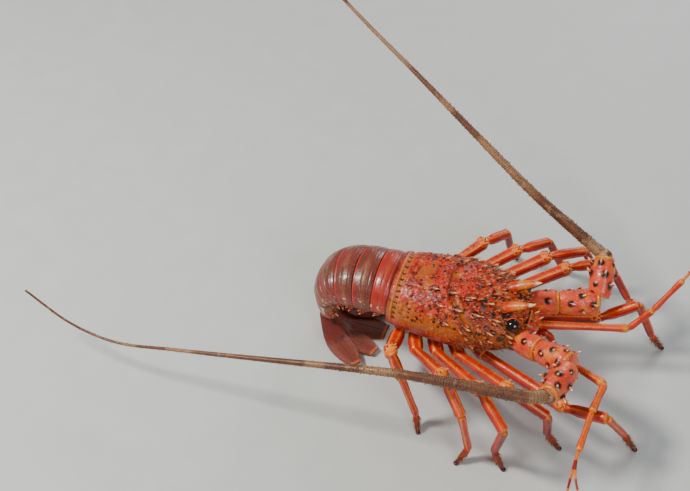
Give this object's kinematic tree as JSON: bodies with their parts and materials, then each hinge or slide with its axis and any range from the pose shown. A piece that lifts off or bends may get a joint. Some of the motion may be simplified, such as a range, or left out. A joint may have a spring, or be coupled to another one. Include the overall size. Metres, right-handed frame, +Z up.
{
  "type": "spiny lobster",
  "caption": "Still life-size spiny lobster standing on its walking legs, tail curled under, long spiny antennae swept back, for display.",
  "frame": {"origin": "on the floor under the middle of the whole animal's box", "axes": "+Z up, +X towards the head, +Y towards the animal's left"},
  "size_m": [0.4352, 0.3506, 0.2406],
  "materials": {
    "carapace": "hard wet brick-red shell with dark pits and pale-tipped spines",
    "horn": "smooth orange-red horn with a cream tip",
    "eye": "glossy near-black eye",
    "peduncle": "salmon-pink shell with dark-based spines",
    "whip": "olive-brown ringed and spinuled antenna",
    "antennule": "smooth red-orange with pale joints",
    "leg": "orange-red shell with pale lengthwise stripes and hairy tips",
    "abdomen": "smooth wet purple-brown shell with red rims and a tan band",
    "tail_fan": "leathery brown-orange blades with fine ribs and a soft fringe",
    "underside": "pale orange shell"
  },
  "bodies": {
    "root": {"carapace": "carapace", "sternum": "underside", "antennular_plate": "carapace", "horn_left": "horn", "eye_left": "eye", "maxilliped_left": "leg", "antenna_left_base": "peduncle", "antenna_left_middle": "peduncle", "antenna_left_end": "peduncle", "whip_left_inner": "whip", "whip_left_outer": "whip", "antennule_left": "antennule", "antennule_left_lashes": "antennule", "leg_left_1_upper": "leg", "leg_left_1_lower": "leg", "leg_left_2_upper": "leg", "leg_left_2_lower": "leg", "leg_left_3_upper": "leg", "leg_left_3_lower": "leg", "leg_left_4_upper": "leg", "leg_left_4_lower": "leg", "leg_left_5_upper": "leg", "leg_left_5_lower": "leg", "horn_right": "horn", "eye_right": "eye", "maxilliped_right": "leg", "antenna_right_base": "peduncle", "antenna_right_middle": "peduncle", "antenna_right_end": "peduncle", "whip_right_inner": "whip", "whip_right_outer": "whip", "antennule_right": "antennule", "antennule_right_lashes": "antennule", "leg_right_1_upper": "leg", "leg_right_1_lower": "leg", "leg_right_2_upper": "leg", "leg_right_2_lower": "leg", "leg_right_3_upper": "leg", "leg_right_3_lower": "leg", "leg_right_4_upper": "leg", "leg_right_4_lower": "leg", "leg_right_5_upper": "leg", "leg_right_5_lower": "leg", "abdomen_1": "abdomen", "abdomen_2": "abdomen", "abdomen_3": "abdomen", "abdomen_4": "abdomen", "abdomen_5": "abdomen", "abdomen_6": "abdomen", "telson": "tail_fan", "uropod_inner_left": "tail_fan", "uropod_inner_right": "tail_fan", "uropod_outer_left": "tail_fan", "uropod_outer_right": "tail_fan"}
  },
  "joints": []
}
